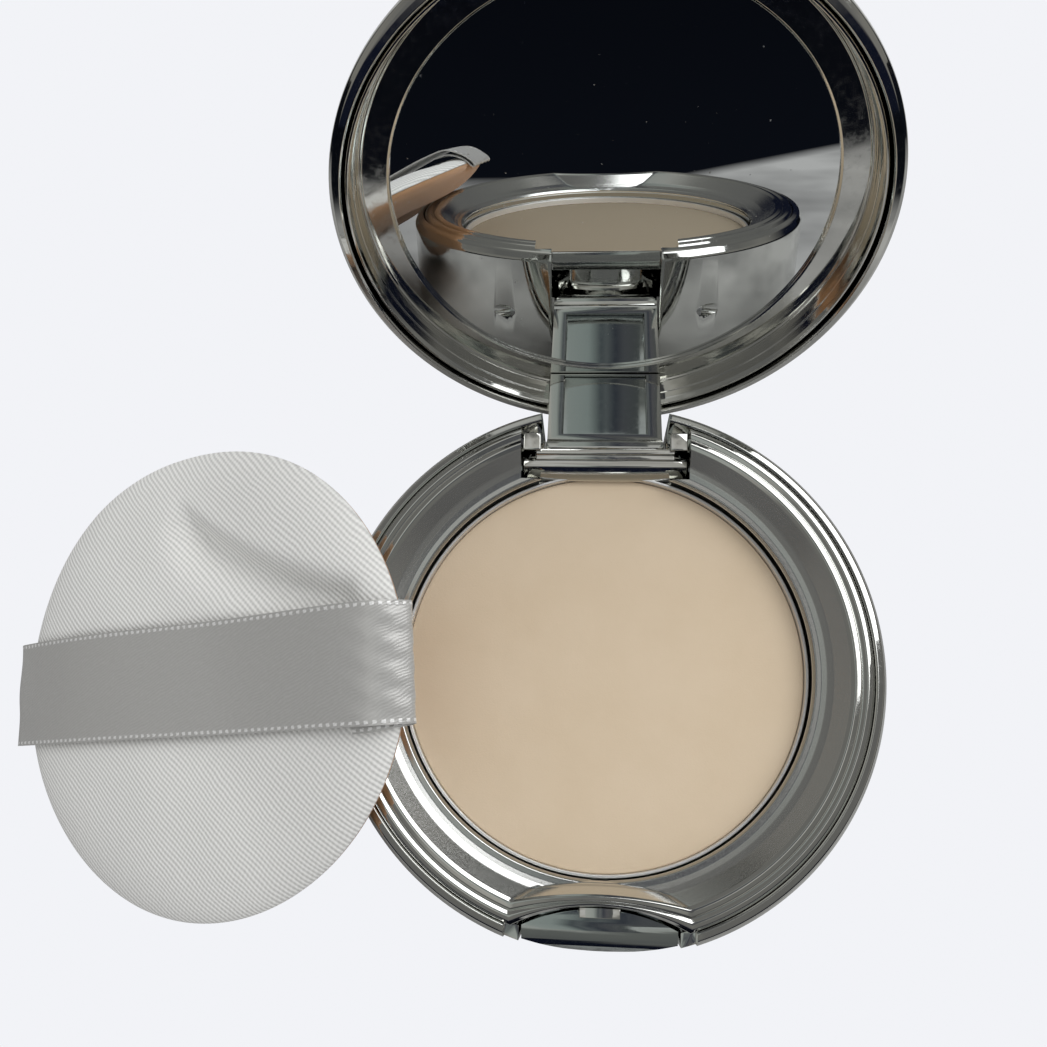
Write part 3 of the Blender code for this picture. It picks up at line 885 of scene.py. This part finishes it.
def make_ribbon():
    """Ribbon sewn into the seam on the left, laid over the face and folded back under itself on the right."""
    fold = [(27.3, 3.1, -0.95), (29.6, 2.7, -0.8), (31.2, 1.95, -0.6), (32.6, 0.75, -0.4), (33.5, -0.6, -0.2),
            (33.9, -0.9, -0.1), (34.15, -0.55, 0), (33.7, 0.4, 0), (32.4, 1.9, 0), (30.6, 3.2, 0),
            (28.5, 3.85, 0), (25, 4.1, 0), (20, 4.2, 0), (10, 4.4, 0), (0, 4.45, 0), (-10, 4.35, 0),
            (-20, 3.95, 0), (-27, 3.1, 0),
            (-31, 2.3, 0), (-34.0, 1.5, 0), (-35.3, 0.5, 0), (-34.6, -0.5, 0), (-33.7, -0.5, 0)]
    fine = curve_through(fold, 8)
    verts, uvs, faces = [], [], []
    across = 32
    length = 0
    for i, (s, lift, shift) in enumerate(fine):
        if i:
            length += (fine[i] - fine[i - 1]).length
        for k in range(across + 1):
            v = -RIBBON_HALF + 2 * RIBBON_HALF * k / across
            left = smooth_step((-s - 28) / 6)
            right = smooth_step((s - 25) / 8)
            pucker = 0.1 * right * sin(1.7 * v + 0.9 * s) + 0.05 * right * sin(3.7 * v - 1.6 * s)
            corner = 1.1 * left * smooth_step((-v - 2) / 5)
            verts.append((s - corner - 0.25 * left * cos(0.5 * v), v + shift, lift + pucker - 0.5 * corner))
            uvs.append((length, v))
    for i in range(len(fine) - 1):
        for k in range(across):
            a = i * (across + 1) + k
            faces.append([a, a + 1, a + across + 2, a + across + 1])
    obj = store("puff_ribbon_piece", verts, faces, uvs, 80)
    solid = obj.modifiers.new("thickness", "SOLIDIFY")
    solid.thickness = RIBBON_THICK * MM
    solid.offset = 0
    apply_modifiers(obj)
    soften(obj, 60)
    move(obj, Matrix.Rotation(radians(RIBBON_SLANT_DEG), 4, "Z"))
    rest_on_rim(obj)
    return obj, length


# ---------------------------------------------------------------- scene

def ray_mix(tree, rays, output, first, second):
    mix = tree.nodes.new("ShaderNodeMixShader")
    link(tree, rays.outputs[output], mix.inputs["Fac"])
    link(tree, first.outputs[0], mix.inputs[1])
    link(tree, second.outputs[0], mix.inputs[2])
    return mix


def stage_sheet(name, corners):
    """Flat sheet of the studio with an empty material: the object, the material's nodes and its output."""
    mesh = bpy.data.meshes.new(name)
    mesh.from_pydata(corners, [], [(0, 1, 2, 3)])
    material = bpy.data.materials.new(name)
    material.use_nodes = True
    tree = material.node_tree
    tree.nodes.clear()
    mesh.materials.append(material)
    sheet = new_object(name, mesh)
    return sheet, tree, tree.nodes.new("ShaderNodeOutputMaterial")


def split_xyz(tree, vector):
    split = tree.nodes.new("ShaderNodeSeparateXYZ")
    link(tree, vector, split.inputs["Vector"])
    return split.outputs


def make_floor():
    """Pale floor for the camera; in reflections a grey table with painted shadows of cloth folds, ending in
    the dark ahead of the compact.
    """
    s = 3.0
    floor, tree, out = stage_sheet("floor", [(-s, -s, 0), (s, -s, 0), (s, s, 0), (-s, s, 0)])
    rays = tree.nodes.new("ShaderNodeLightPath")
    pale = tree.nodes.new("ShaderNodeEmission")
    pale.inputs["Color"].default_value = (0.887, 0.896, 0.93, 1)
    place = tree.nodes.new("ShaderNodeNewGeometry").outputs["Position"]
    split = split_xyz(tree, place)
    right = calc(tree, "MAXIMUM", calc(tree, "SUBTRACT", split["X"], 0.025), 0)
    edge = calc(tree, "ADD", split["Y"], calc(tree, "MULTIPLY", right, 0.9))
    ahead = spread(tree, edge, -0.15, -0.135, 0, 1)
    beside = spread(tree, calc(tree, "ABSOLUTE", split["X"]), 0.11, 0.15, 1, 0)
    # Painted shadows of cloth folds: noise darkens the reflected table to 45% in soft patches.
    fold_painted_shadows = spread(tree, noise(tree, 16, 3, place, 0.55), 0.35, 0.65, 0.45, 1)
    near = calc(tree, "MULTIPLY", calc(tree, "MULTIPLY", ahead, beside), fold_painted_shadows)
    table = tree.nodes.new("ShaderNodeBsdfDiffuse")
    tone = ramp(tree, near, [(0.0, (0.004, 0.005, 0.008)), (1.0, (0.5, 0.495, 0.48))])
    link(tree, tone, table.inputs["Color"])
    mix = ray_mix(tree, rays, "Is Camera Ray", table, pale)
    link(tree, mix.outputs[0], out.inputs["Surface"])


def make_world():
    """Soft light on matt surfaces; polished ones see grey walls under a paler ceiling, and a dark front."""
    world = bpy.data.worlds.new("studio")
    bpy.context.scene.world = world
    world.use_nodes = True
    tree = world.node_tree
    tree.nodes.clear()
    out = tree.nodes.new("ShaderNodeOutputWorld")
    rays = tree.nodes.new("ShaderNodeLightPath")
    soft = tree.nodes.new("ShaderNodeBackground")
    soft.inputs["Color"].default_value = (0.95, 0.96, 0.98, 1)
    soft.inputs["Strength"].default_value = 0.67
    room = tree.nodes.new("ShaderNodeBackground")
    way = tree.nodes.new("ShaderNodeTexCoord").outputs["Generated"]
    split = split_xyz(tree, way)
    clutter = calc(tree, "MULTIPLY", calc(tree, "SUBTRACT", noise(tree, 2.2, 3, way, 0.6), 0.5), 0.5)
    height = calc(tree, "ADD", split["Z"], clutter)
    walls = ramp(tree, height, [(0.0, (0.21, 0.205, 0.19)), (0.25, (0.22, 0.215, 0.2)),
                                (0.5, (0.14, 0.14, 0.138)), (0.83, (0.18, 0.18, 0.17)),
                                (0.93, (0.45, 0.445, 0.42)), (1.0, (0.53, 0.53, 0.52))])
    low = spread(tree, height, 0.24, 0.44, 1, 0)
    front = calc(tree, "MULTIPLY", spread(tree, split["Y"], -0.55, -0.25, 1, 0), low)
    link(tree, blend_colours(tree, front, walls, (0.006, 0.008, 0.018)), room.inputs["Color"])
    mix = ray_mix(tree, rays, "Is Glossy Ray", soft, room)
    link(tree, mix.outputs[0], out.inputs["Surface"])


def make_window(azimuth, height, distance, size, radiance, colour):
    """Soft panel facing the compact, placed by its direction in degrees and its distance."""
    light = bpy.data.lights.new("window", "AREA")
    light.shape = "RECTANGLE"
    light.size, light.size_y = size
    light.energy = radiance * pi * size[0] * size[1]
    light.color = colour
    panel = new_object("window", light)
    a, e = radians(azimuth), radians(height)
    aim = Vector((0, 0, 0.02))
    panel.location = aim + distance * Vector((cos(e) * cos(a), cos(e) * sin(a), sin(e)))
    panel.rotation_euler = (aim - panel.location).to_track_quat("-Z", "Y").to_euler()


def make_flag():
    """Dim card above the compact, seen only in polished surfaces: paler on the left, dark on the right."""
    half, front, back, height = 0.04, -0.11, 0.045, 0.156
    corners = [(-half, front, height), (half, front, height), (half, back, height), (-half, back, height)]
    flag, tree, out = stage_sheet("flag", corners)
    flag.visible_camera = False
    flag.visible_diffuse = False
    flag.visible_shadow = False
    flag.visible_transmission = False
    glow = tree.nodes.new("ShaderNodeEmission")
    place = split_xyz(tree, tree.nodes.new("ShaderNodeNewGeometry").outputs["Position"])
    across = spread(tree, place["X"], -half, half, 0, 1)
    bands = [(0.0, (0.40, 0.42, 0.40)), (0.3, (0.34, 0.37, 0.355)), (0.4, (0.2, 0.22, 0.215)),
             (0.47, (0.09, 0.1, 0.11)), (0.54, (0.14, 0.15, 0.155)), (0.66, (0.05, 0.055, 0.07)),
             (0.78, (0.1, 0.1, 0.11)), (1.0, (0.09, 0.095, 0.095))]
    link(tree, ramp(tree, across, bands), glow.inputs["Color"])
    link(tree, glow.outputs[0], out.inputs["Surface"])


def make_camera():
    data = bpy.data.cameras.new("camera")
    data.sensor_width = 36
    data.lens = 33.6
    data.shift_x, data.shift_y = 0.0144, 0.0266
    data.clip_start, data.clip_end = 0.01, 30
    camera = new_object("camera", data)
    turn = Matrix.Rotation(radians(4.97), 4, "Y") @ Matrix.Rotation(radians(13.87), 4, "X")
    turn = turn @ Matrix.Rotation(radians(2.07), 4, "Z")
    camera.matrix_world = Matrix.Translation((-0.00181, -0.01746, 0.15266)) @ turn
    bpy.context.scene.camera = camera


def build():
    """Make every visible piece; the hidden metal, tape and paper keep their CAD shapes."""
    settle(make_base_shell(), "base", "base_shell", CHROME)
    settle(make_base_tray(), "base", "base_tray", CHROME)
    settle(make_hinge_cover(), "base", "hinge_cover", CHROME)
    settle(make_pan(), "base", "powder_pan", PAN_METAL)
    settle(make_powder(), "base", "powder_cake", POWDER)
    settle(make_push_button(), "button", "push_button", DARK_CHROME)
    settle(make_catch(), "button", "latch_catch", CHROME)
    swing = about_hinge(-radians(OPEN_DEG))
    lid_pieces = ((make_lid_shell, "lid_shell", CHROME), (make_arm_panel, "arm_panel", DARK_CHROME),
                  (make_lid_frame, "lid_frame", CHROME), (make_hook, "latch_hook", CHROME),
                  (make_mirror, "mirror_glass", MIRROR))
    for make, node, material in lid_pieces:
        piece = make()
        move(piece, swing)
        settle(piece, "lid", node, material)
    for name, height, side, material in (("puff_face", face_height, 1, FACE_CLOTH),
                                         ("puff_base", back_height, -1, VELOUR)):
        half = make_puff_half(name + "_piece", height, side)
        settle(half, "puff", name, material)
    settle(make_puff_filling(), "puff", "puff_filling", FOAM)
    ribbon, length = make_ribbon()
    settle(ribbon, "puff", "puff_ribbon", RIBBON)
    for node, material in (("hinge_pin", STEEL), ("hinge_washer_left", NYLON), ("hinge_washer_right", NYLON),
                           ("latch_spring", STEEL), ("base_label", PAPER), ("pan_adhesive", TAPE),
                           ("mirror_adhesive", TAPE)):
        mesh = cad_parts[node].data
        mesh.materials.clear()
        mesh.materials.append(material)


bpy.context.scene.view_settings.view_transform = "Standard"
make_camera()
make_floor()
make_world()
make_flag()
make_window(46, 40, 0.7, (0.72, 0.48), 2.6, (0.97, 0.985, 1.0))
build()
